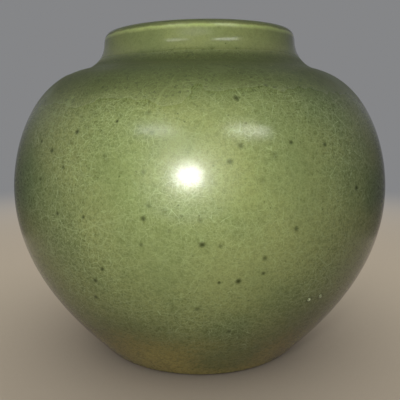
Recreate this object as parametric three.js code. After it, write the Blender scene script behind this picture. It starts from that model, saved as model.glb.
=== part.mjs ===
import * as THREE from 'three';

// A thrown globular jar with a short collar, in millimetres.
// It stands on the plane z = 0 with its axis on Z. Radii are from that axis.

// Outer form of the glazed jar
const footRadius = 67.4;
const bellyRadius = 120;
const bellyHeight = 104.2;
const shoulderHeight = 179.15;
const collarRadius = 61.55;

// Lean of the surface from level at the table, and of the shoulder where it meets the collar, in degrees
const flankRise = 48.1;
const shoulderSlope = 15.4;

// How full the curves are: the reach of each curve's handle from its end
const flankFootReach = 29;
const flankBellyReach = 47.9;
const shoulderBellyReach = 26;
const shoulderTopReach = 32.6;

// Collar: a hollow curve up from the shoulder, then a swell that leans in under the lip
const collarHollowRadius = 20.8;
const collarLean = 4.2;
const swellRadius = 20;
const swellTurn = 12.1;

// Walls
const clayWall = 6.8;
const outerGlazeCoat = 0.8;
const linerGlazeCoat = 0.6;
const baseGlazeCoat = 0.6;
const glazeBond = 0.05;

// Foot and floor
const footRingInnerRadius = 54;
const footSeatHeight = 6;
const footEdgeBevel = 1;
const glazeHemHeight = 1.6;
const glazeHemBevel = 0.6;
const floorThickness = 8.5;
const floorFlatRadius = 44;
const floorCoveReach = 22;
const baseGlazeClearance = 0.3;

// Luted joints: a tongue on the lower piece, a groove in the upper one, and slip between them
const slipThickness = 0.6;
const slipBond = 0.05;
const tongueHeight = 2.4;
const tongueTaper = 0.4;
const wallTongueWidth = 2.4;
const footTongueWidth = 6;

// Fineness
const segments = 36;
const flankSteps = 6;
const shoulderSteps = 6;
const hollowSteps = 2;
const swellSteps = 2;
const lipSteps = 6;
const coveSteps = 4;

const radians = THREE.MathUtils.degToRad;
const vec = (x, y) => new THREE.Vector2(x, y);
const moved = (point, direction, distance) => point.clone().addScaledVector(direction, distance);
const heading = (degrees) => vec(Math.cos(radians(degrees)), Math.sin(radians(degrees)));

// Outline of the glaze, from the table up to the lip, as four curves that run on smoothly
const belly = vec(bellyRadius, bellyHeight);
const tableEdge = vec(footRadius, 0);
const flank = new THREE.CubicBezierCurve(
  tableEdge,
  moved(tableEdge, heading(flankRise), flankFootReach),
  moved(belly, heading(-90), flankBellyReach),
  belly,
);

const hollowStart = -90 - shoulderSlope;
const hollowEnd = -180 + collarLean;
const hollowCentre = vec(
  collarRadius + collarHollowRadius,
  shoulderHeight - collarHollowRadius * Math.sin(radians(hollowStart)),
);
const shoulderTop = moved(hollowCentre, heading(hollowStart), collarHollowRadius);
const shoulder = new THREE.CubicBezierCurve(
  belly,
  moved(belly, heading(90), shoulderBellyReach),
  moved(shoulderTop, heading(-shoulderSlope), shoulderTopReach),
  shoulderTop,
);

const arc = (centre, radius, from, to) =>
  new THREE.EllipseCurve(centre.x, centre.y, radius, radius, radians(from), radians(to), to < from);
const hollow = arc(hollowCentre, collarHollowRadius, hollowStart, hollowEnd);
const collarWaist = moved(hollowCentre, heading(hollowEnd), collarHollowRadius);
const swellCentre = moved(collarWaist, heading(180 + collarLean), swellRadius);
const swell = arc(swellCentre, swellRadius, collarLean, collarLean + swellTurn);

// Stations along a curve: a point on the outline and the direction straight out of the wall there
const stationsAlong = (curve, from, to, steps) =>
  Array.from({ length: steps + 1 }, (_, i) => {
    const t = from + ((to - from) * i) / steps;
    const tangent = curve.getTangent(t);
    return { point: curve.getPoint(t), outward: vec(tangent.y, -tangent.x), onward: tangent };
  });

// The place on the flank at a height above the table
const flankPlace = (height) => {
  let low = 0;
  let high = 1;
  while (high - low > 1e-7) {
    const middle = (low + high) / 2;
    if (flank.getPoint(middle).y < height) low = middle;
    else high = middle;
  }
  return low;
};

const afterFirst = (list) => list.slice(1);
const beforeLast = (list) => list.slice(0, -1);
const reversed = (list) => [...list].reverse();

// Each wall starts on top of the slip in the seam below it, and ends at the next seam or at the lip
const overSlip = (seam) => ({ ...seam, point: moved(seam.point, seam.onward, slipThickness) });
const hemPlace = flankPlace(glazeHemHeight);
const seatPlace = flankPlace(footSeatHeight);
const [hem, footSeat] = stationsAlong(flank, hemPlace, seatPlace, 1);
const lowerWall = stationsAlong(flank, seatPlace, 1, flankSteps);
const waistSeam = lowerWall[flankSteps];
const upperWall = [
  overSlip(waistSeam),
  ...afterFirst(stationsAlong(shoulder, 0, 1, shoulderSteps)),
  ...afterFirst(stationsAlong(hollow, 0, 0.5, hollowSteps)),
];
const collarSeam = upperWall[upperWall.length - 1];
const collarFootWall = [
  overSlip(collarSeam),
  ...afterFirst(stationsAlong(hollow, 0.5, 1, hollowSteps)),
];
const collarTopWall = stationsAlong(swell, 0, 1, swellSteps);
const collarWaistStation = collarTopWall[0];
const lipStation = collarTopWall[swellSteps];
const collarWall = [...collarFootWall, ...afterFirst(collarTopWall)];

// Depths of the layers below the outline
const clayOut = outerGlazeCoat + glazeBond;
const clayIn = clayOut + clayWall;
const linerOut = clayIn + glazeBond;
const linerIn = linerOut + linerGlazeCoat;

const inward = (station, depth) => moved(station.point, station.outward, -depth);
const layer = (stations, depth) => stations.map((station) => inward(station, depth));

// A lip is half a round, over the wall between two depths, from the outside to the inside
const lipRound = (outerDepth, innerDepth) => {
  const centre = inward(lipStation, (outerDepth + innerDepth) / 2);
  const start = THREE.MathUtils.radToDeg(lipStation.outward.angle());
  return Array.from({ length: lipSteps + 1 }, (_, i) =>
    moved(centre, heading(start + (180 * i) / lipSteps), (innerDepth - outerDepth) / 2),
  );
};

// The section of a luted joint, across the wall from its outer face, lifted clear of the lower piece
const jointLine = (joint, clearance) => {
  const tongueStart = (joint.width - joint.tongueWidth) / 2 - clearance;
  const tongueEnd = joint.width - tongueStart;
  const steps = [
    [0, 0],
    [tongueStart, 0],
    [tongueStart + tongueTaper, tongueHeight],
    [tongueEnd - tongueTaper, tongueHeight],
    [tongueEnd, 0],
    [joint.width, 0],
  ];
  return steps.map(([across, up]) =>
    moved(moved(joint.outer, joint.across, across), joint.along, up + clearance),
  );
};

const wallJoint = (station) => ({
  outer: inward(station, clayOut),
  across: station.outward.clone().negate(),
  along: station.onward,
  width: clayWall,
  tongueWidth: wallTongueWidth,
});
const waistJoint = wallJoint(waistSeam);
const collarJoint = wallJoint(collarSeam);
const footJointOuter = inward(footSeat, clayOut);
const footJoint = {
  outer: footJointOuter,
  across: heading(180),
  along: heading(90),
  width: footJointOuter.x - footRingInnerRadius,
  tongueWidth: footTongueWidth,
};

// Inside of the bowl: a level floor and a cove that runs up into the wall, with its directions inward
const bowlUnderside = footJointOuter.y + slipThickness;
const floorTop = bowlUnderside + floorThickness;
const coveEndIndex = 2;
const coveEnd = lowerWall[coveEndIndex];
const floorEdge = vec(floorFlatRadius, floorTop);
const cove = new THREE.CubicBezierCurve(
  floorEdge,
  moved(floorEdge, heading(0), floorCoveReach),
  moved(inward(coveEnd, clayIn), coveEnd.onward, -floorCoveReach),
  inward(coveEnd, clayIn),
);
const coveStations = stationsAlong(cove, 0, 1, coveSteps);
const bowlInside = (depth) => [
  vec(0, floorTop + depth - clayIn),
  ...layer(coveStations, depth - clayIn),
  ...layer(lowerWall.slice(coveEndIndex + 1), depth),
];

// Materials
const material = (color, roughness) => new THREE.MeshStandardMaterial({ color, roughness, metalness: 0 });
const bodyClay = () => material(0xb3a48c, 0.9);
const footClay = () => material(0x8a5a3c, 0.85);
const joiningSlip = () => material(0xa39682, 0.95);
const celadonGlaze = () => material(0x7e8a52, 0.16);
const linerGlaze = () => material(0x87905c, 0.2);

// One turned piece from a section that closes on itself or starts and ends on the axis
const turned = (name, section, surface) => {
  const closed = section[0].x === 0 ? section : [...section, section[0]];
  const geometry = new THREE.LatheGeometry(closed, segments).rotateX(Math.PI / 2);
  const piece = new THREE.Mesh(geometry, surface);
  piece.name = name;
  return piece;
};

const footRing = () =>
  turned(
    'foot_ring',
    [
      vec(footRingInnerRadius + footEdgeBevel, 0),
      vec(inward(hem, clayOut).x - inward(hem, clayOut).y, 0),
      inward(hem, clayOut),
      ...jointLine(footJoint, 0),
      vec(footRingInnerRadius, footEdgeBevel),
    ],
    footClay(),
  );

const lowerBowl = () =>
  turned(
    'lower_bowl',
    [
      vec(0, bowlUnderside),
      ...reversed(jointLine(footJoint, slipThickness)),
      ...beforeLast(afterFirst(layer(lowerWall, clayOut))),
      ...jointLine(waistJoint, 0),
      ...afterFirst(reversed(bowlInside(clayIn))),
    ],
    bodyClay(),
  );

const upperBowl = () =>
  turned(
    'upper_bowl',
    [
      ...reversed(jointLine(waistJoint, slipThickness)),
      ...beforeLast(afterFirst(layer(upperWall, clayOut))),
      ...jointLine(collarJoint, 0),
      ...beforeLast(afterFirst(reversed(layer(upperWall, clayIn)))),
    ],
    bodyClay(),
  );

const neckCollar = () =>
  turned(
    'neck_collar',
    [
      ...reversed(jointLine(collarJoint, slipThickness)),
      ...beforeLast(afterFirst(layer(collarWall, clayOut))),
      ...lipRound(clayOut, clayIn),
      ...beforeLast(afterFirst(reversed(layer(collarWall, clayIn)))),
    ],
    bodyClay(),
  );

const slipRing = (name, joint) =>
  turned(
    name,
    [...jointLine(joint, slipThickness - slipBond), ...reversed(jointLine(joint, slipBond))],
    joiningSlip(),
  );

const outerGlaze = () => {
  const wall = [...lowerWall, ...upperWall, ...beforeLast(collarWall)];
  const throat = afterFirst(reversed(collarTopWall));
  return turned(
    'outer_glaze',
    [
      inward(hem, outerGlazeCoat),
      moved(hem.point, hem.onward, glazeHemBevel),
      ...layer(wall, 0),
      ...lipRound(0, linerIn),
      ...layer(throat, linerIn),
      ...reversed(layer(throat, linerOut)),
      ...reversed(lipRound(outerGlazeCoat, linerOut)),
      ...reversed(layer(wall, outerGlazeCoat)),
    ],
    celadonGlaze(),
  );
};

const innerGlaze = () => {
  const topEdge = (depth) => moved(inward(collarWaistStation, depth), collarWaistStation.onward, -glazeBond);
  const inside = (depth) => [
    ...bowlInside(depth),
    ...layer([...upperWall, ...beforeLast(collarFootWall)], depth),
    topEdge(depth),
  ];
  return turned('inner_glaze', [...inside(linerOut), ...reversed(inside(linerIn))], linerGlaze());
};

const baseGlaze = () => {
  const top = bowlUnderside - glazeBond;
  const rim = footRingInnerRadius - baseGlazeClearance;
  return turned(
    'base_glaze',
    [vec(0, top - baseGlazeCoat), vec(rim, top - baseGlazeCoat), vec(rim, top), vec(0, top)],
    linerGlaze(),
  );
};

const vase = new THREE.Group();
vase.add(footRing());
vase.add(slipRing('foot_slip_seam', footJoint));
vase.add(lowerBowl());
vase.add(slipRing('waist_slip_seam', waistJoint));
vase.add(upperBowl());
vase.add(slipRing('collar_slip_seam', collarJoint));
vase.add(neckCollar());
vase.add(baseGlaze());
vase.add(innerGlaze());
vase.add(outerGlaze());

export default vase;
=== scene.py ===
import math

import bpy
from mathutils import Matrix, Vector


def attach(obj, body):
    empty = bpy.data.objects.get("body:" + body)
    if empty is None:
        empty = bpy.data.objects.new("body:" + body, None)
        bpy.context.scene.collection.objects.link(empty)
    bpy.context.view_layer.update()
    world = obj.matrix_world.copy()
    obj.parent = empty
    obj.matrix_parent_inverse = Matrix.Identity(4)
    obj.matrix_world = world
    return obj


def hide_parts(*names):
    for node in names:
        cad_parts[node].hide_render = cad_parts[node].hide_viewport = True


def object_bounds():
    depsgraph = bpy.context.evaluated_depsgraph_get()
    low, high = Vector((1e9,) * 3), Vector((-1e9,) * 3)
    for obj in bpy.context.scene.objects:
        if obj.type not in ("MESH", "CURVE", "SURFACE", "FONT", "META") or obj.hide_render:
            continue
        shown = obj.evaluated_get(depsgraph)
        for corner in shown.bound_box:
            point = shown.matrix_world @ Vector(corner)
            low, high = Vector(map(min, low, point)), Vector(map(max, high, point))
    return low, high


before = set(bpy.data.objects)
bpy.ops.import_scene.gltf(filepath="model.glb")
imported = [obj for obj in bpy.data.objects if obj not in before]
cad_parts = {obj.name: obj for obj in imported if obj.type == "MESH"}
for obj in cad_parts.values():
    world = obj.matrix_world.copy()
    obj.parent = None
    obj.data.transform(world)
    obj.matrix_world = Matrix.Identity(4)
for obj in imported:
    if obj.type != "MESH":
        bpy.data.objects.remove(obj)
cadLow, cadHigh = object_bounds()
print("frame loaded,", len(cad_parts), "nodes")

# Everything is in metres and degrees. The jar stands on z = 0 with its axis on Z.
# Its outline is the frame's own: a flank, a shoulder, a hollow and a swell that run on smoothly.
jar = {
    "footRadius": 0.0674,
    "bellyRadius": cadHigh.x,
    "bellyHeight": 0.1042,
    "shoulderHeight": 0.17915,
    "collarRadius": 0.06155,
    "flankRise": 48.1,
    "shoulderSlope": 15.4,
    "flankFootReach": 0.029,
    "flankBellyReach": 0.0479,
    "shoulderBellyReach": 0.026,
    "shoulderTopReach": 0.0326,
    "hollowRadius": 0.0208,
    "collarLean": 4.2,
    "swellRadius": 0.02,
    "swellTurn": 12.1,
    "glazeHemHeight": 0.0016,
    "footSeatHeight": 0.006,
}

# Walls from the outside in, and the little space between one layer and the next
wall = {
    "clay": 0.0068,
    "outerGlaze": 0.0008,
    "linerGlaze": 0.0006,
    "baseGlaze": 0.0006,
    "bond": 0.00005,
}
clayOut = wall["outerGlaze"] + wall["bond"]
clayIn = clayOut + wall["clay"]
linerOut = clayIn + wall["bond"]
linerIn = linerOut + wall["linerGlaze"]

# Luted joints: a tongue on the lower piece, a groove in the upper one, and slip between them
luting = {
    "slip": 0.0006,
    "tongueHeight": 0.0024,
    "tongueTaper": 0.0004,
    "wallTongue": 0.0024,
    "footTongue": 0.006,
}

# How finely a piece is turned
turning = {
    "roundSteps": 180,
    "flankSteps": 60,
    "shoulderSteps": 44,
    "hollowSteps": 14,
    "swellSteps": 6,
    "lipSteps": 14,
    "coveSteps": 14,
    "hemSteps": 6,
    "hiddenStride": 3,
    "stationGap": 0.001,
    "seedSize": 0.001,
    "mergeDistance": 0.00002,
    "smoothAngle": 40,
}


def heading(degrees):
    return Vector((math.cos(math.radians(degrees)), math.sin(math.radians(degrees))))


def curveStations(start, startHandle, endHandle, end, steps):
    # places along a Bezier curve, each with the direction out of the wall there
    stations = []
    for i in range(steps + 1):
        t = i / steps
        u = 1 - t
        point = start * u**3 + startHandle * 3 * u * u * t + endHandle * 3 * u * t * t + end * t**3
        along = (startHandle - start) * u * u + (endHandle - startHandle) * 2 * u * t
        along += (end - endHandle) * t * t
        along.normalize()
        stations.append((point, Vector((along.y, -along.x))))
    return stations


def arcStations(centre, radius, startAngle, endAngle, steps):
    # a falling angle turns round a centre outside the wall, so the way out is towards it
    side = 1 if endAngle > startAngle else -1
    stations = []
    for i in range(steps + 1):
        away = heading(startAngle + (endAngle - startAngle) * i / steps)
        stations.append((centre + away * radius, away * side))
    return stations


def jarOutline():
    hollowStart = -90 - jar["shoulderSlope"]
    hollowEnd = -180 + jar["collarLean"]
    hollowRise = jar["hollowRadius"] * math.sin(math.radians(hollowStart))
    hollowCentre = Vector((jar["collarRadius"] + jar["hollowRadius"], jar["shoulderHeight"] - hollowRise))
    shoulderTop = hollowCentre + heading(hollowStart) * jar["hollowRadius"]
    collarWaist = hollowCentre + heading(hollowEnd) * jar["hollowRadius"]
    swellCentre = collarWaist + heading(180 + jar["collarLean"]) * jar["swellRadius"]
    swellEnd = jar["collarLean"] + jar["swellTurn"]
    tableEdge = Vector((jar["footRadius"], 0))
    belly = Vector((jar["bellyRadius"], jar["bellyHeight"]))
    return {
        "flank": curveStations(
            tableEdge,
            tableEdge + heading(jar["flankRise"]) * jar["flankFootReach"],
            belly + heading(-90) * jar["flankBellyReach"],
            belly,
            turning["flankSteps"],
        ),
        "shoulder": curveStations(
            belly,
            belly + heading(90) * jar["shoulderBellyReach"],
            shoulderTop + heading(-jar["shoulderSlope"]) * jar["shoulderTopReach"],
            shoulderTop,
            turning["shoulderSteps"],
        ),
        "hollow": arcStations(
            hollowCentre, jar["hollowRadius"], hollowStart, hollowEnd, turning["hollowSteps"]
        ),
        "swell": arcStations(
            swellCentre, jar["swellRadius"], jar["collarLean"], swellEnd, turning["swellSteps"]
        ),
    }


outline = jarOutline()


def between(stations, height):
    # the place on the wall at a height above the table, between two of its stations
    for (low, lowOut), (high, highOut) in zip(stations, stations[1:]):
        if low.y <= height <= high.y:
            share = (height - low.y) / (high.y - low.y)
            return low.lerp(high, share), lowOut.lerp(highOut, share).normalized()


def above(stations, height):
    # the stations past a height, clear of the one that is put in at it
    return [station for station in stations if station[0].y > height + turning["stationGap"]]


def coarse(stations):
    # fewer places, for faces that another layer covers; both ends stay
    return stations[: -1 : turning["hiddenStride"]] + stations[-1:]


def inward(station, depth):
    return station[0] - station[1] * depth


def onward(station):
    return Vector((-station[1].y, station[1].x))


def layer(stations, depth):
    return [inward(station, depth) for station in stations]


seamIndex = turning["hollowSteps"] // 2
hem = between(outline["flank"], jar["glazeHemHeight"])
footSeat = between(outline["flank"], jar["footSeatHeight"])
waistSeam = outline["flank"][-1]
collarSeam = outline["hollow"][seamIndex]
collarWaist = outline["swell"][0]
lipStation = outline["swell"][-1]
lowerWall = [footSeat] + above(outline["flank"], jar["footSeatHeight"])
upperWall = outline["shoulder"] + outline["hollow"][1 : seamIndex + 1]
collarWall = outline["hollow"][seamIndex:] + outline["swell"][1:]
wholeWall = [hem] + above(outline["flank"], jar["glazeHemHeight"]) + upperWall[1:] + collarWall[1:]


def lipRound(outerDepth, innerDepth):
    # half a round over the wall, from its outside to its inside
    centre = inward(lipStation, (outerDepth + innerDepth) / 2)
    start = math.degrees(math.atan2(lipStation[1].y, lipStation[1].x))
    radius = (innerDepth - outerDepth) / 2
    count = turning["lipSteps"]
    return [centre + heading(start + 180 * i / count) * radius for i in range(count + 1)]


def hemRound():
    # the glaze ends above the table in a small roll, drawn from its inside to its outside
    radius = wall["outerGlaze"] / 2
    centre = inward(hem, radius)
    start = math.degrees(math.atan2(hem[1].y, hem[1].x)) + 180
    count = turning["hemSteps"]
    return [centre + heading(start + 180 * i / count) * radius for i in range(count)]


def jointLine(outer, across, along, width, tongueWidth, clearance):
    # the section of a luted joint across the wall, lifted clear of the lower piece
    start = (width - tongueWidth) / 2 - clearance
    end = width - start
    taper = luting["tongueTaper"]
    height = luting["tongueHeight"]
    steps = [(0, 0), (start, 0), (start + taper, height), (end - taper, height), (end, 0), (width, 0)]
    return [outer + across * far + along * (up + clearance) for far, up in steps]


def wallJoint(station, clearance):
    outer = inward(station, clayOut)
    return jointLine(outer, -station[1], onward(station), wall["clay"], luting["wallTongue"], clearance)


def footJoint(clearance):
    outer = inward(footSeat, clayOut)
    width = outer.x - foot["ringInnerRadius"]
    return jointLine(outer, heading(180), heading(90), width, luting["footTongue"], clearance)


print("outline drawn, lip at", round(max(point.y for point in lipRound(0, linerIn)), 4))

# The collar stands a little askew: it sinks towards the left of the view, and slightly to the front
lean = {
    "leftwards": 1.0,
    "forwards": 0.45,
    "start": 0.176,
    "end": 0.192,
    "steps": 8,
    "pivot": 0.070,  # how far to the right of the axis the line lies that it turns about
}


class Wire:
    # One output of a node. Sums and products of wires and numbers add their Math nodes.
    def __init__(self, tree, socket=None):
        self.tree = tree
        self.socket = socket

    def node(self, kind, inputs=None, settings=None, output=0):
        made = self.tree.nodes.new("ShaderNode" + kind)
        for name, value in (settings or {}).items():
            setattr(made, name, value)
        for name, value in (inputs or {}).items():
            if isinstance(value, Wire):
                self.tree.links.new(value.socket, made.inputs[name])
            else:
                made.inputs[name].default_value = value
        return Wire(self.tree, made.outputs[output]) if len(made.outputs) else None

    def maths(self, operation, first, second):
        return self.node("Math", {0: first, 1: second}, {"operation": operation})

    def __add__(self, other):
        return self.maths("ADD", self, other)

    def __radd__(self, other):
        return self.maths("ADD", other, self)

    def __sub__(self, other):
        return self.maths("SUBTRACT", self, other)

    def __rsub__(self, other):
        return self.maths("SUBTRACT", other, self)

    def __mul__(self, other):
        return self.maths("MULTIPLY", self, other)

    def __rmul__(self, other):
        return self.maths("MULTIPLY", other, self)

    def larger(self, other):
        return self.maths("MAXIMUM", self, other)

    def ease(self, low, high, start=0.0, end=1.0):
        # runs smoothly from start to end as the value goes from low to high
        inputs = {"Value": self, "From Min": low, "From Max": high, "To Min": start, "To Max": end}
        return self.node("MapRange", inputs, {"interpolation_type": "SMOOTHSTEP"})

    def blot(self, radius, fade, strength=1.0):
        # full strength near the middle and none at the edge; fade gives both as shares of the radius
        return self.ease(radius * fade[0], radius * fade[1], strength, 0.0)

    def blend(self, first, second):
        # from one colour to another as the value goes from 0 to 1
        return self.node("Mix", {0: self, 6: first, 7: second}, {"data_type": "RGBA"}, output=2)

    def tint(self, colour, mask):
        # this colour, going over to another one where the mask is 1
        return mask.blend(self, colour)

    def relief(self, strength, depth):
        return self.node("Bump", {"Height": self, "Strength": strength, "Distance": depth}, output="Normal")

    def shift(self, other):
        return self.node("VectorMath", {0: self, 1: other}, {"operation": "ADD"})

    def stretch(self, factors):
        return self.node("VectorMath", {0: self, 1: factors}, {"operation": "MULTIPLY"})

    def distance(self, spot):
        return self.node("VectorMath", {0: self, 1: spot}, {"operation": "DISTANCE"}, output="Value")

    def noise(self, size, detail=2.0, roughness=0.5, output="Fac"):
        # size is the length over which the noise changes
        inputs = {"Vector": self, "Scale": 1 / size, "Detail": detail, "Roughness": roughness}
        return self.node("TexNoise", inputs, output=output)

    def cells(self, size, feature, output):
        inputs = {"Vector": self, "Scale": 1 / size}
        return self.node("TexVoronoi", inputs, {"feature": feature}, output)

    def nearestRing(self, spacing):
        # how far a height is from the nearest of many level rings
        return self.maths("PINGPONG", self * (1 / spacing), 0.5) * spacing

    def wander(self, size, reach):
        # places pushed about by up to half the reach, so that lines and dots lose their evenness
        drift = self.noise(size, 3.0, 0.5, "Color").stretch((reach, reach, reach))
        return self.shift(drift).shift((-reach / 2, -reach / 2, -reach / 2))


def newMaterial(name):
    material = bpy.data.materials.new(name)
    material.use_nodes = True
    material.node_tree.nodes.clear()
    shader = Wire(material.node_tree)
    place = shader.node("TexCoord", output="Object")
    return material, shader, place


def closeMaterial(shader, inputs):
    surface = shader.node("BsdfPrincipled", inputs, output="BSDF")
    shader.node("OutputMaterial", {"Surface": surface})


def onGlaze(azimuth, height, lift=0.0):
    # a place on the glaze, by its angle round from the front and its height, and the way out of it
    point, outward = between(wholeWall, height)
    reach = point + outward * lift
    side = Vector((math.sin(math.radians(azimuth)), -math.cos(math.radians(azimuth)), 0))
    return side * reach.x + Vector((0, 0, reach.y)), side * outward.x + Vector((0, 0, outward.y))


# Colours of the green glaze, the sizes of what lies in it, and how strongly it shows
celadon = {
    "green": (0.26, 0.312, 0.108, 1),
    "yellowGreen": (0.318, 0.355, 0.123, 1),
    "deepGreen": (0.14, 0.22, 0.085, 1),
    # painted shade, brown, low on the body
    "paintedLowShade": (0.15, 0.12, 0.032, 1),
    # painted bounce light, warm, near the foot
    "paintedBounce": (0.62, 0.50, 0.125, 1),
    "footGreen": (0.17, 0.215, 0.07, 1),
    # dark thick glaze, also used as painted shade in the hollow, on the lip's top and round the beads
    "pooledAndShade": (0.086, 0.108, 0.025, 1),
    # a pale tint, also used as a painted highlight along the lip
    "paleAndHighlight": (0.62, 0.72, 0.25, 1),
    "crackleLine": (0.46, 0.54, 0.25, 1),
    "iron": (0.04, 0.052, 0.008, 1),
    "cloudSize": 0.045,
    "clearSize": 0.03,
    "mottleSize": 0.0021,
    "fleckSize": 0.0008,
    "freckleSize": 0.0026,
    "speckCell": 0.0075,
    "speckRadius": 0.0005,
    "speckStrength": 0.6,
    "poolDriftSize": 0.02,
    "poolDrift": 0.012,
    "cloudRise": 0.03,
    "hollowStrength": 0.92,
    "lipWaveSize": 0.006,
    "lipWave": 0.0012,
    "lipLineStrength": 0.85,
    "lipTopStrength": 0.5,
    "lipTopDullness": 0.5,
    "smoothPaleness": 0.04,
    "smoothCalm": 0.5,
    "skinSize": 0.0016,
    "skinStrength": 0.8,
    "skinDepth": 0.00011,
    "dullness": 0.3,
}

# Crackle: the size of its cells, the width and strength of its lines, and the levels of a noise
# between which a line is whole
crackle = {
    "fine": {"cell": 0.0028, "line": 0.00014, "strength": 0.5, "whole": (0.42, 0.58)},
    "wide": {"cell": 0.0068, "line": 0.00017, "strength": 0.66, "whole": (0.56, 0.4)},
    "long": {"cell": 0.015, "line": 0.0002, "strength": 0.34, "whole": (0.32, 0.44)},
    "swaySize": 0.012,
    "sway": 0.0017,
    "crookSize": 0.0009,
    "crook": 0.0002,
    "breakSize": 0.0028,
    "lineCore": 0.4,
}

# Level rings left by the throwing, which show in patches
rings = {
    "spacing": 0.0055,
    "line": 0.0003,
    "strength": 0.36,
    "bendSize": 0.035,
    "bend": 0.02,
    "patchSize": 0.03,
    "patchStretch": 3,
}

# Ranges that the glaze changes over: from, to, and its strength at either end where that isn't 0 and 1.
# The first are heights, then come distances from a spot, and levels of a noise or a mask.
ranges = {
    "paintedLowShade": (0.006, 0.070, 1.0, 0.0),
    "paintedBounce": (0.006, 0.044, 0.9, 0.0),
    "hollowFoot": (0.150, 0.175),
    "hollowTop": (0.184, 0.1905, 1.0, 0.0),
    "freckledFoot": (0.148, 0.166),
    "freckledTop": (0.184, 0.192, 1.0, 0.1),
    "lowRings": (0.09, 0.125, 1.0, 0.1),
    "highRings": (0.138, 0.155),
    "smooth": (0.182, 0.191),
    "lipLineFoot": (0.1991, 0.2013),
    "lipLineTop": (0.2013, 0.2023, 1.0, 0.0),
    "lipTop": (0.2019, 0.2036),
    "lessLowShade": (0.01, 0.07, 0.55, 1.0),
    "footGreen": (0.01, 0.03, 0.65, 0.0),
    "lively": (0.03, 0.085),
    "clouds": (0.35, 0.65),
    "gloss": (0.3, 0.7, 0.124, 0.2015),
    "clear": (0.35, 0.62, 0.6, 1.0),
    "quietCrackle": (0.1, 0.9, 1.0, 0.3),
    "livelyCrackle": (0.0, 1.0, 0.8, 1.4),
    "livelyGrain": (0.0, 1.0, 0.7, 1.2),
    "freckles": (0.55, 0.68, 0.0, 0.6),
    "mottle": (0.42, 0.7, 0.0, 0.4),
    "darkFlecks": (0.5, 0.72, 0.0, 0.45),
    "paleFlecks": (0.49, 0.3, 0.0, 0.42),
    "ringPatches": (0.4, 0.54),
    "ringWhole": (0.34, 0.46),
}

# Spots that some of those distances are taken from: angle round from the front, and height
middles = {
    "lessLowShade": (4, 0.06),
    "footGreen": (11, 0.018),
    "lively": (3, 0.115),
}

# Round blots are at full strength up to the first share of their radius, and gone at the second
fades = {
    "pool": (0.2, 1.0),
    "speck": (0.2, 1.4),
    "ironSpot": (0.1, 1.35),
    "bead": (0.6, 1.1),
    "beadShade": (1.0, 2.2),
}

# Iron spots: angle round from the front, height, radius and darkness
ironSpots = [
    (-46, 0.138, 0.0013, 0.8),
    (-40, 0.134, 0.0015, 0.85),
    (-32, 0.1435, 0.0016, 0.85),
    (-34.5, 0.1265, 0.0013, 0.7),
    (-36, 0.1035, 0.0013, 0.75),
    (-27.5, 0.1035, 0.0011, 0.8),
    (-12.3, 0.105, 0.0014, 0.8),
    (-20.5, 0.149, 0.0010, 0.95),
    (-12.5, 0.1525, 0.0016, 0.45),
    (-22.5, 0.133, 0.0015, 0.4),
    (9.6, 0.1595, 0.0018, 0.8),
    (19, 0.166, 0.0015, 0.7),
    (22, 0.139, 0.0013, 0.8),
    (32, 0.1375, 0.0013, 0.8),
    (9.3, 0.138, 0.0016, 0.55),
    (6.7, 0.131, 0.0016, 0.6),
    (42, 0.115, 0.0016, 0.85),
    (22.3, 0.099, 0.0016, 0.7),
    (0.5, 0.0933, 0.0018, 0.95),
    (4.5, 0.0923, 0.0012, 0.55),
    (4.7, 0.074, 0.0010, 0.85),
    (9.2, 0.0745, 0.0017, 0.95),
    (-24, 0.078, 0.0014, 0.85),
    (-27, 0.0707, 0.0015, 0.85),
    (-28.7, 0.0597, 0.0015, 0.8),
    (-0.5, 0.0586, 0.0017, 0.55),
    (15, 0.0857, 0.0015, 0.65),
    (15, 0.0775, 0.0013, 0.75),
    (-43.3, 0.1195, 0.0012, 0.65),
    (8.4, 0.0427, 0.0014, 0.65),
    (-11.1, 0.1437, 0.0015, 0.5),
    (-22.6, 0.1327, 0.0015, 0.35),
    (-12.6, 0.1261, 0.0014, 0.4),
    (-11.2, 0.111, 0.0014, 0.45),
    (-3.9, 0.1068, 0.0009, 0.4),
    (0.1, 0.1046, 0.0013, 0.4),
    (-6.6, 0.0998, 0.0015, 0.3),
    (-13.1, 0.0925, 0.0014, 0.55),
    (14.1, 0.122, 0.0018, 0.3),
    (17.4, 0.1332, 0.0016, 0.3),
]

# Small beads of glaze that stand out low on the right, each with a painted glint and painted shade round it:
# angle, height and radius
beads = {
    "places": [(31.4, 0.0571, 0.0013), (35.7, 0.0571, 0.0013), (43.9, 0.0578, 0.0009)],
    # the colour of the painted glint on each bead
    "pale": (0.62, 0.66, 0.38, 1),
    "shade": 0.7,
    "rise": 0.8,
    "sunk": 0.0003,
    "segments": 32,
    "rings": 16,
}

# Greener pools of thicker glaze: angle, height, radius and strength
greenPools = [
    (-52, 0.118, 0.026, 0.5),
    (-34, 0.088, 0.022, 0.3),
    (9, 0.042, 0.02, 0.45),
    (38, 0.158, 0.026, 0.35),
    (52, 0.113, 0.02, 0.45),
    (20, 0.124, 0.02, 0.2),
    (120, 0.13, 0.03, 0.4),
    (165, 0.07, 0.03, 0.4),
    (-140, 0.14, 0.028, 0.4),
    (-105, 0.06, 0.022, 0.4),
]


def crackleLines(place, kind, broken):
    # pale hairlines between cells, broken off where the noise is low
    edge = place.cells(kind["cell"], "DISTANCE_TO_EDGE", "Distance")
    width = kind["line"] / kind["cell"]
    return edge.ease(width * crackle["lineCore"], width, 1.0, 0.0) * broken.ease(*kind["whole"])


def throwingRings(shader, place, swayed, broken):
    height = shader.node("SeparateXYZ", {0: swayed}, output="Z")
    bent = height + place.noise(rings["bendSize"], 2.0, 0.6) * rings["bend"]
    level = bent.nearestRing(rings["spacing"]).blot(rings["line"], (crackle["lineCore"], 1.0))
    patches = place.stretch((1, 1, rings["patchStretch"])).noise(rings["patchSize"], 3.0, 0.6)
    return level * (patches.ease(*ranges["ringPatches"]) * broken.ease(*ranges["ringWhole"]))


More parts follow.
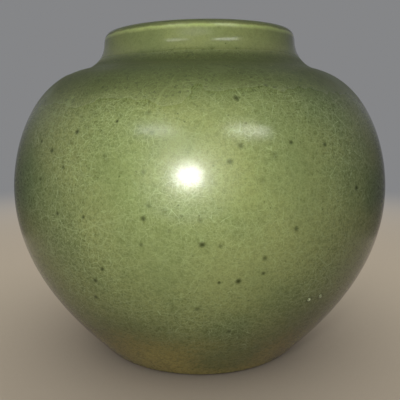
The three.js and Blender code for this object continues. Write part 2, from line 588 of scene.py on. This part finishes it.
def glazeShades(shader, place, clouds, colour):
    # slow changes of colour: pools, and painted light and shade low on the body, under the collar and at the
    # lip
    across, deep, height = [shader.node("SeparateXYZ", {0: place}, output=axis) for axis in "XYZ"]
    soft = place.wander(celadon["poolDriftSize"], celadon["poolDrift"])

    def around(name):
        return soft.distance(onGlaze(*middles[name])[0]).ease(*ranges[name])

    for azimuth, up, radius, strength in greenPools:
        pool = soft.distance(onGlaze(azimuth, up)[0]).blot(radius, fades["pool"], strength)
        colour = colour.tint(celadon["deepGreen"], pool)

    # heights that drift with the clouds, and heights on the leaning collar
    uneven = height + (clouds - 0.5) * celadon["cloudRise"]
    leftSink = (lean["pivot"] - across) * math.radians(lean["leftwards"])
    collarHeight = height + (leftSink - deep * math.radians(lean["forwards"]))

    # painted shade: the glaze gets browner and darker low on the body, less so at the front
    paintedLowShade = uneven.ease(*ranges["paintedLowShade"]) * around("lessLowShade")
    colour = colour.tint(celadon["paintedLowShade"], paintedLowShade)
    # painted bounce light: lighter and browner glaze near the foot
    colour = colour.tint(celadon["paintedBounce"], uneven.ease(*ranges["paintedBounce"]))
    colour = colour.tint(celadon["footGreen"], around("footGreen"))
    # painted shade in the hollow under the collar
    hollow = uneven.ease(*ranges["hollowFoot"]) * collarHeight.ease(*ranges["hollowTop"])
    colour = colour.tint(celadon["pooledAndShade"], hollow * celadon["hollowStrength"])
    freckled = uneven.ease(*ranges["freckledFoot"]) * collarHeight.ease(*ranges["freckledTop"])
    freckles = place.noise(celadon["freckleSize"], 2.0, 0.55).ease(*ranges["freckles"])
    colour = colour.tint(celadon["iron"], freckles * freckled)

    # a painted highlight along the lip, and painted shade on its top
    wave = place.noise(celadon["lipWaveSize"], 2.0, 0.5) - 0.5
    edge = collarHeight + wave * celadon["lipWave"]
    lipLine = edge.ease(*ranges["lipLineFoot"]) * edge.ease(*ranges["lipLineTop"])
    colour = colour.tint(celadon["paleAndHighlight"], lipLine * celadon["lipLineStrength"])
    lipTop = edge.ease(*ranges["lipTop"])
    smooth = collarHeight.ease(*ranges["smooth"])
    colour = colour.tint(celadon["paleAndHighlight"], smooth * celadon["smoothPaleness"])
    colour = colour.tint(celadon["pooledAndShade"], lipTop * celadon["lipTopStrength"])
    return {
        "colour": colour,
        "smooth": smooth,  # the collar, which has hardly any grain
        "quiet": paintedLowShade.larger(hollow).larger(smooth),  # where crackle hardly shows
        "dull": hollow.larger(lipTop * celadon["lipTopDullness"]),  # where the gloss is lower
        "lively": around("lively") * (1 - smooth),  # where grain and crackle are stronger
        # where level rings show
        "ringed": uneven.ease(*ranges["lowRings"]).larger(uneven.ease(*ranges["highRings"])),
    }


def glazeSurface(name, marks):
    material, shader, place = newMaterial(name)
    clouds = place.noise(celadon["cloudSize"], 3.0, 0.55)
    colour = clouds.ease(*ranges["clouds"]).blend(celadon["green"], celadon["yellowGreen"])
    clear = place.noise(celadon["clearSize"], 2.0, 0.5).ease(*ranges["clear"])
    gloss = clouds.ease(*ranges["gloss"])
    grain, ringed = 1.0, 1.0
    if marks:
        shades = glazeShades(shader, place, clouds, colour)
        colour, ringed, lively = shades["colour"], shades["ringed"], shades["lively"]
        gloss = gloss + shades["dull"] * celadon["dullness"]
        grain = lively.ease(*ranges["livelyGrain"]) * (1 - shades["smooth"] * celadon["smoothCalm"])
        clear = clear * shades["quiet"].ease(*ranges["quietCrackle"]) * lively.ease(*ranges["livelyCrackle"])

    # the fine grain of the glaze, and crackle over it
    swayed = place.wander(crackle["swaySize"], crackle["sway"])
    crooked = swayed.wander(crackle["crookSize"], crackle["crook"])
    broken = place.noise(crackle["breakSize"], 2.0, 0.6)
    flecks = place.noise(celadon["fleckSize"], 2.0, 0.6)
    mottle = place.noise(celadon["mottleSize"], 3.0, 0.65)
    colour = colour.tint(celadon["pooledAndShade"], mottle.ease(*ranges["mottle"]) * grain)
    colour = colour.tint(celadon["pooledAndShade"], flecks.ease(*ranges["darkFlecks"]) * grain)
    lines = throwingRings(shader, place, swayed, broken) * ringed * rings["strength"]
    for kind, drawnOn in (("fine", crooked), ("wide", crooked), ("long", swayed)):
        lines = lines.larger(crackleLines(drawnOn, crackle[kind], broken) * crackle[kind]["strength"])
    lines = lines.larger(flecks.ease(*ranges["paleFlecks"]))
    colour = colour.tint(celadon["crackleLine"], lines * clear)

    # iron specks all over, the spots that stand at places of their own, and the beads' painted glints and
    # painted shade
    specks = crooked.cells(celadon["speckCell"], "F1", "Distance")
    speckRadius = celadon["speckRadius"] / celadon["speckCell"]
    iron = specks.blot(speckRadius, fades["speck"], celadon["speckStrength"])
    if marks:
        for azimuth, up, radius, darkness in ironSpots:
            spot = crooked.distance(onGlaze(azimuth, up)[0])
            iron = iron.larger(spot.blot(radius, fades["ironSpot"], darkness))
        for azimuth, up, radius in beads["places"]:
            near = place.distance(onGlaze(azimuth, up)[0])
            colour = colour.tint(celadon["pooledAndShade"], near.blot(radius, fades["beadShade"], beads["shade"]))
            colour = colour.tint(beads["pale"], near.blot(radius, fades["bead"]))
    colour = colour.tint(celadon["iron"], iron)
    skin = place.noise(celadon["skinSize"], 3.0, 0.6).relief(celadon["skinStrength"], celadon["skinDepth"])
    closeMaterial(shader, {"Base Color": colour, "Roughness": gloss, "Normal": skin})
    return material


# Bare clay and slip: colours, the sizes of grain, blushes and turning marks, and ranges as above
clay = {
    "buff": (0.45, 0.37, 0.27, 1),
    "buffDark": (0.33, 0.26, 0.18, 1),
    "red": (0.24, 0.115, 0.055, 1),
    "redDark": (0.11, 0.05, 0.025, 1),
    "slip": (0.40, 0.34, 0.26, 1),
    "slipDark": (0.30, 0.25, 0.18, 1),
    "speck": (0.03, 0.02, 0.015, 1),
    "grainSize": 0.0009,
    "blushSize": 0.012,
    "speckCell": 0.002,
    "markSize": 0.004,
    "markStretch": 8,
    "markShare": 0.3,
    "blush": (0.35, 0.7),
    "darkGrain": (0.52, 0.7, 0.0, 0.7),
    "specks": (0.1, 0.2, 0.6, 0.0),
    "roughGrain": (0.2, 0.8),
    "roughest": 0.98,
    "bodyRoughness": 0.85,
    "footRoughness": 0.75,
    "slipRoughness": 0.9,
    "reliefStrength": 0.6,
    "reliefDepth": 0.0001,
}


def claySurface(name, light, dark, roughness):
    material, shader, place = newMaterial(name)
    colour = place.noise(clay["blushSize"], 4.0, 0.6).ease(*clay["blush"]).blend(light, dark)
    grain = place.noise(clay["grainSize"], 3.0, 0.7)
    colour = colour.tint(dark, grain.ease(*clay["darkGrain"]))
    specks = place.cells(clay["speckCell"], "F1", "Distance")
    colour = colour.tint(clay["speck"], specks.ease(*clay["specks"]))
    marks = place.stretch((1, 1, clay["markStretch"])).noise(clay["markSize"], 2.0, 0.5)
    height = grain * (1 - clay["markShare"]) + marks * clay["markShare"]
    rough = grain.ease(*clay["roughGrain"], roughness, clay["roughest"])
    normal = height.relief(clay["reliefStrength"], clay["reliefDepth"])
    closeMaterial(shader, {"Base Color": colour, "Roughness": rough, "Normal": normal})
    return material


celadonGlaze = glazeSurface("celadonGlaze", True)
linerGlaze = glazeSurface("linerGlaze", False)
bodyClay = claySurface("bodyClay", clay["buff"], clay["buffDark"], clay["bodyRoughness"])
footClay = claySurface("footClay", clay["red"], clay["redDark"], clay["footRoughness"])
joiningSlip = claySurface("joiningSlip", clay["slip"], clay["slipDark"], clay["slipRoughness"])
print("materials made")


def turnPiece(name, section):
    # one point is drawn round the section, and the line is spun round the axis
    bpy.ops.object.select_all(action="DESELECT")
    bpy.ops.mesh.primitive_plane_add(size=turning["seedSize"], location=(0, 0, 0))
    piece = bpy.context.object
    piece.name = name
    bpy.ops.object.mode_set(mode="EDIT")
    bpy.ops.mesh.merge(type="CENTER")
    bpy.ops.transform.translate(value=(section[0].x, 0, section[0].y))
    for before, after in zip(section, section[1:]):
        move = (after.x - before.x, 0, after.y - before.y)
        bpy.ops.mesh.extrude_vertices_move(TRANSFORM_OT_translate={"value": move})
    bpy.ops.mesh.select_all(action="SELECT")
    bpy.ops.mesh.spin(steps=turning["roundSteps"], angle=2 * math.pi, center=(0, 0, 0), axis=(0, 0, 1))
    bpy.ops.mesh.select_all(action="SELECT")
    bpy.ops.mesh.remove_doubles(threshold=turning["mergeDistance"])
    bpy.ops.mesh.normals_make_consistent(inside=False)
    bpy.ops.object.mode_set(mode="OBJECT")
    bpy.ops.object.shade_smooth_by_angle(angle=math.radians(turning["smoothAngle"]))
    print("turned", name, len(piece.data.vertices), "points")
    return piece


def leanCollar(piece):
    # each step turns all that stands above it by a little more
    bpy.ops.object.select_all(action="DESELECT")
    bpy.context.view_layer.objects.active = piece
    piece.select_set(True)
    for i in range(lean["steps"]):
        height = lean["start"] + (lean["end"] - lean["start"]) * i / (lean["steps"] - 1)
        for face in piece.data.polygons:
            face.select = False
        for edge in piece.data.edges:
            edge.select = False
        for vertex in piece.data.vertices:
            vertex.select = vertex.co.z > height
        bpy.ops.object.mode_set(mode="EDIT")
        centre = (lean["pivot"], 0, height)
        leftwards = math.radians(lean["leftwards"] / lean["steps"])
        forwards = math.radians(lean["forwards"] / lean["steps"])
        bpy.ops.transform.rotate(value=leftwards, orient_axis="Y", center_override=centre)
        bpy.ops.transform.rotate(value=-forwards, orient_axis="X", center_override=centre)
        bpy.ops.object.mode_set(mode="OBJECT")
    return piece


def finishPiece(piece, material, slot, *nodes):
    piece.data.materials.clear()
    piece.data.materials.append(material)
    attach(piece, "root")
    if nodes:
        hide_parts(*nodes)
    return piece


# Foot ring, and the floor of the bowl above it
foot = {
    "ringInnerRadius": 0.054,
    "edgeBevel": 0.001,
    "rounding": 0.0003,
    "roundingSteps": 2,
    "roundingAngle": 30,
    "floorThickness": 0.0085,
    "floorFlatRadius": 0.044,
    "coveReach": 0.022,
    "coveTop": 0.03144,  # where the curved corner between floor and wall ends
    "baseClearance": 0.0003,
    "baseChamferWidth": 0.0004,
    "baseChamferHeight": 0.0003,
}
bowlUnderside = footJoint(luting["slip"])[0].y
floorTop = bowlUnderside + foot["floorThickness"]
coveEnd = between(outline["flank"], foot["coveTop"])
floorEdge = Vector((foot["floorFlatRadius"], floorTop))
cove = curveStations(
    floorEdge,
    floorEdge + heading(0) * foot["coveReach"],
    inward(coveEnd, clayIn) - onward(coveEnd) * foot["coveReach"],
    inward(coveEnd, clayIn),
    turning["coveSteps"],
)


def bowlInside(depth, pick):
    middle = Vector((0, floorTop + depth - clayIn))
    return [middle] + layer(pick(cove), depth - clayIn) + layer(pick(above(lowerWall, coveEnd[0].y)), depth)


def footRingPiece():
    edge = inward(hem, clayOut)
    section = [Vector((foot["ringInnerRadius"] + foot["edgeBevel"], 0)), Vector((edge.x - edge.y, 0)), edge]
    section += footJoint(0) + [Vector((foot["ringInnerRadius"], foot["edgeBevel"]))]
    piece = turnPiece("footRing", section + section[:1])
    rounding = piece.modifiers.new("rounding", "BEVEL")
    rounding.width = foot["rounding"]
    rounding.segments = foot["roundingSteps"]
    rounding.limit_method = "ANGLE"
    rounding.angle_limit = math.radians(foot["roundingAngle"])
    bpy.ops.object.modifier_apply(modifier=rounding.name)
    return finishPiece(piece, footClay, "foot_clay", "foot_ring")


def lowerBowlPiece():
    section = [Vector((0, bowlUnderside))] + footJoint(luting["slip"])[::-1]
    section += layer(coarse(lowerWall)[1:-1], clayOut) + wallJoint(waistSeam, 0)
    section += bowlInside(clayIn, coarse)[-2::-1]
    return finishPiece(turnPiece("lowerBowl", section), bodyClay, "body_clay", "lower_bowl")


def upperBowlPiece():
    wallStations = coarse(upperWall)
    section = wallJoint(waistSeam, luting["slip"])[::-1]
    section += layer(wallStations[1:-1], clayOut) + wallJoint(collarSeam, 0)
    section += layer(wallStations[1:-1], clayIn)[::-1]
    piece = turnPiece("upperBowl", section + section[:1])
    return finishPiece(leanCollar(piece), bodyClay, "body_clay", "upper_bowl")


def neckCollarPiece():
    section = wallJoint(collarSeam, luting["slip"])[::-1]
    section += layer(collarWall[1:-1], clayOut) + lipRound(clayOut, clayIn)
    section += layer(collarWall[1:-1], clayIn)[::-1]
    piece = turnPiece("neckCollar", section + section[:1])
    return finishPiece(leanCollar(piece), bodyClay, "body_clay", "neck_collar")


def celadonCoatPiece():
    throat = outline["swell"][-2::-1]
    outside = hemRound() + layer(wholeWall[:-1], 0) + lipRound(0, linerIn) + layer(throat, linerIn)
    back = layer(throat, linerOut)[::-1] + lipRound(wall["outerGlaze"], linerOut)[::-1]
    back += layer(coarse(wholeWall[1:-1]), wall["outerGlaze"])[::-1]
    section = outside + back
    piece = turnPiece("celadonCoat", section + section[:1])
    return finishPiece(leanCollar(piece), celadonGlaze, "celadon_glaze", "outer_glaze")


def linerCoatPiece():
    stations = upperWall[1:] + outline["hollow"][seamIndex + 1 : -1]

    def side(depth, pick):
        top = inward(collarWaist, depth) - onward(collarWaist) * wall["bond"]
        return bowlInside(depth, pick) + layer(pick(stations), depth) + [top]

    piece = turnPiece("linerCoat", side(linerIn, list) + side(linerOut, coarse)[::-1])
    return finishPiece(leanCollar(piece), linerGlaze, "liner_glaze", "inner_glaze")


def baseCoatPiece():
    top = bowlUnderside - wall["bond"]
    rim = foot["ringInnerRadius"] - foot["baseClearance"]
    under = top - wall["baseGlaze"]
    section = [Vector((0, under)), Vector((rim / 2, under)), Vector((rim - foot["baseChamferWidth"], under))]
    section += [Vector((rim, under + foot["baseChamferHeight"])), Vector((rim, top)), Vector((0, top))]
    return finishPiece(turnPiece("baseCoat", section), linerGlaze, "liner_glaze", "base_glaze")


def glazeBeadPieces():
    # low domes, sunk a little into the glaze that they have run together with
    for azimuth, height, radius in beads["places"]:
        spot, away = onGlaze(azimuth, height, -beads["sunk"])
        bpy.ops.object.select_all(action="DESELECT")
        bpy.ops.mesh.primitive_uv_sphere_add(
            segments=beads["segments"], ring_count=beads["rings"], radius=radius, location=(0, 0, 0)
        )
        bead = bpy.context.object
        bead.name = "glazeBead"
        bpy.ops.object.mode_set(mode="EDIT")
        bpy.ops.mesh.select_all(action="SELECT")
        bpy.ops.transform.resize(value=(1, 1, beads["rise"]))
        bpy.ops.object.mode_set(mode="OBJECT")
        bead.rotation_euler = away.to_track_quat("Z", "Y").to_euler()
        bead.location = spot
        bpy.ops.object.transform_apply(location=True, rotation=True, scale=True)
        bpy.ops.object.shade_smooth()
        finishPiece(bead, celadonGlaze, "celadon_glaze")


footRingPiece()
lowerBowlPiece()
upperBowlPiece()
neckCollarPiece()
celadonCoatPiece()
linerCoatPiece()
baseCoatPiece()
glazeBeadPieces()
for name in ("foot_slip_seam", "waist_slip_seam", "collar_slip_seam"):
    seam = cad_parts[name]
    seam.data.materials.clear()
    seam.data.materials.append(joiningSlip)
print("pieces made")


# The floor is a plain pale sheet, which fades into a background of a quieter grey
studio = {
    "floorColour": (0.62, 0.53, 0.41, 1),
    "bounceColour": (0.30, 0.255, 0.195, 1),
    "farColour": (0.235, 0.238, 0.245, 1),
    "fadeStart": 0.2,
    "fadeEnd": 0.8,
    "glow": 0.6,
    "nearness": 0.45,
    "ambient": 0.15,
    "floorReach": 12.0,
    "floorSides": 96,
    "floorDrop": 0.0001,
}


def seenDirectly(shader):
    # 1 for what the camera sees, also in gloss or through glass
    rays = ["Is Camera Ray", "Is Glossy Ray", "Is Transmission Ray"]
    first, second, third = [shader.node("LightPath", output=ray) for ray in rays]
    return first.larger(second).larger(third)


def makeFloor():
    material, shader, place = newMaterial("paleFloor")
    fade = place.distance((0, 0, 0)).ease(studio["fadeStart"], studio["fadeEnd"])
    colour = fade.blend(studio["floorColour"], studio["farColour"])
    matt = shader.node("BsdfDiffuse", {"Color": studio["bounceColour"]}, output="BSDF")
    # the sheet's own glow is dimmed where the jar stands over it, as soft light would be
    dimming = {"Color": colour, "Distance": studio["nearness"]}
    dimmed = shader.node("AmbientOcclusion", dimming, output="Color")
    glow = shader.node("Emission", {"Color": dimmed, "Strength": 1.0}, output="Emission")
    share = seenDirectly(shader) * fade.ease(0, 1, studio["glow"], 1.0)
    mixed = shader.node("MixShader", {0: share, 1: matt, 2: glow}, output="Shader")
    shader.node("OutputMaterial", {"Surface": mixed})
    bpy.ops.object.select_all(action="DESELECT")
    bpy.ops.mesh.primitive_circle_add(
        vertices=studio["floorSides"], radius=studio["floorReach"], fill_type="NGON", location=(0, 0, 0)
    )
    floor = bpy.context.object
    floor.name = "floor"
    floor.location.z = -studio["floorDrop"]  # clear of the foot's flat underside
    floor.data.materials.append(material)


# Dark cards stand beside the jar as painted shade in its reflection. They show only in its gloss, and keep
# its edges from going pale.
cards = {
    "azimuth": 75,
    "away": 0.3,
    "height": 0.08,
    "size": (0.52, 0.34),
    "colour": (0.02, 0.02, 0.02, 1),
    "strength": 0.6,
    "fadeStart": 0.1,
    "fadeEnd": 0.5,
}


def makeCards():
    material, shader, place = newMaterial("darkCard")
    dark = shader.node("BsdfDiffuse", {"Color": cards["colour"]}, output="BSDF")
    clear = shader.node("BsdfTransparent", output="BSDF")
    solid = place.distance((0, 0, 0)).ease(cards["fadeStart"], cards["fadeEnd"], cards["strength"], 0.0)
    mixed = shader.node("MixShader", {0: solid, 1: clear, 2: dark}, output="Shader")
    shader.node("OutputMaterial", {"Surface": mixed})
    for azimuth in (cards["azimuth"], -cards["azimuth"]):
        turned = math.radians(azimuth)
        spot = (math.sin(turned) * cards["away"], math.cos(turned) * cards["away"], cards["height"])
        bpy.ops.object.select_all(action="DESELECT")
        bpy.ops.mesh.primitive_plane_add(size=1, location=spot, rotation=(math.radians(90), 0, -turned))
        card = bpy.context.object
        card.name = "darkCard"
        card.scale = (cards["size"][0], cards["size"][1], 1)
        card.data.materials.append(material)
        card.visible_camera = False
        card.visible_diffuse = False
        card.visible_transmission = False
        card.visible_shadow = False


def makeWorld():
    world = bpy.data.worlds.new("studioAir")
    world.use_nodes = True
    world.node_tree.nodes.clear()
    bpy.context.scene.world = world
    shader = Wire(world.node_tree)
    strength = seenDirectly(shader) * (1 - studio["ambient"]) + studio["ambient"]
    sky = shader.node("Background", {"Color": studio["farColour"], "Strength": strength}, output="Background")
    shader.node("OutputWorld", {"Surface": sky})


# Lamps: size in metres, power in watts, and whether matt or glossy surfaces show each of them.
# The flash stands beside the camera. Its light and its reflection are set apart, as two lamps at one
# place, and the halos are the glare round that reflection, as wide faint discs behind it.
flashPlace = Vector((-0.030, -0.336, 0.186))
flashAim = Vector((-0.006, -0.118, 0.125))
haloGap = 0.001
behind = (flashPlace - flashAim).normalized() * haloGap
jarMiddle = Vector((0, 0, 0.1))
lamps = {
    "flash": {"place": flashPlace, "aim": flashAim, "shape": "ELLIPSE", "size": (0.042, 0.025),
              "power": 0.186, "spread": 110, "onMatt": True},
    "flashGlare": {"place": flashPlace, "aim": flashAim, "shape": "ELLIPSE", "size": (0.044, 0.014),
                   "power": 0.225, "spread": 110, "onGloss": True},
    "nearHalo": {"place": flashPlace + behind, "aim": flashAim, "shape": "DISK", "size": (0.10, 0.10),
                 "power": 0.02, "spread": 120, "onGloss": True},
    "middleHalo": {"place": flashPlace + behind * 2, "aim": flashAim, "shape": "DISK", "size": (0.17, 0.17),
                   "power": 0.052, "spread": 120, "onGloss": True},
    "wideHalo": {"place": flashPlace + behind * 3, "aim": flashAim, "shape": "DISK", "size": (0.30, 0.30),
                 "power": 0.15, "spread": 120, "onGloss": True},
    "rightStrip": {"place": (1.416, -2.08, 2.29), "aim": (1.416, -2.08, 0), "size": (1.29, 0.26),
                   "power": 18, "turn": 10, "onGloss": True},
    "leftStrip": {"place": (-1.24, -2.09, 2.29), "aim": (-1.24, -2.09, 0), "size": (1.14, 0.4),
                  "power": 11, "turn": -16, "onGloss": True},
    "above": {"place": (0, -1.3, 2.2), "aim": jarMiddle, "size": (1.2, 0.8), "power": 5, "onMatt": True},
    "backRight": {"place": (0.45, 1.42, 0.35), "aim": jarMiddle, "size": (0.6, 0.6), "power": 7.5,
                  "onMatt": True},
    "backLeft": {"place": (-0.45, 1.42, 0.35), "aim": jarMiddle, "size": (0.6, 0.6), "power": 7.5,
                 "onMatt": True},
}


def makeLamp(
    name, place, aim, size, power, shape="RECTANGLE", turn=0, spread=180, onMatt=False, onGloss=False
):
    # turn is about the way that the lamp faces, and spread is how wide its beam is, in degrees
    bpy.ops.object.select_all(action="DESELECT")
    facing = (Vector(aim) - Vector(place)).to_track_quat("-Z", "Y").to_euler()
    facing.rotate_axis("Z", math.radians(turn))
    bpy.ops.object.light_add(type="AREA", location=place, rotation=facing)
    lamp = bpy.context.object
    lamp.name = name
    lamp.data.shape = shape
    lamp.data.size, lamp.data.size_y = size
    lamp.data.energy = power
    lamp.data.spread = math.radians(spread)
    lamp.visible_camera = False
    lamp.visible_diffuse = onMatt
    lamp.visible_glossy = onGloss


# The camera stands before the jar, a little above its middle, and looks slightly down
camera = {
    "place": (0.0002, -0.336, 0.1508),
    "downwards": 9.63,
    "lens": 44.18,
    "sensor": 36,
    "nearest": 0.01,
    "farthest": 50,
}


def makeCamera():
    tilt = math.radians(90 - camera["downwards"])
    bpy.ops.object.camera_add(location=camera["place"], rotation=(tilt, 0, 0))
    made = bpy.context.object
    made.data.lens = camera["lens"]
    made.data.sensor_width = camera["sensor"]
    made.data.clip_start = camera["nearest"]
    made.data.clip_end = camera["farthest"]
    bpy.context.scene.camera = made


makeFloor()
makeCards()
makeWorld()
for name, facts in lamps.items():
    makeLamp(name, **facts)
makeCamera()
bpy.context.scene.view_settings.view_transform = "Standard"
print("floor, lamps and camera set")
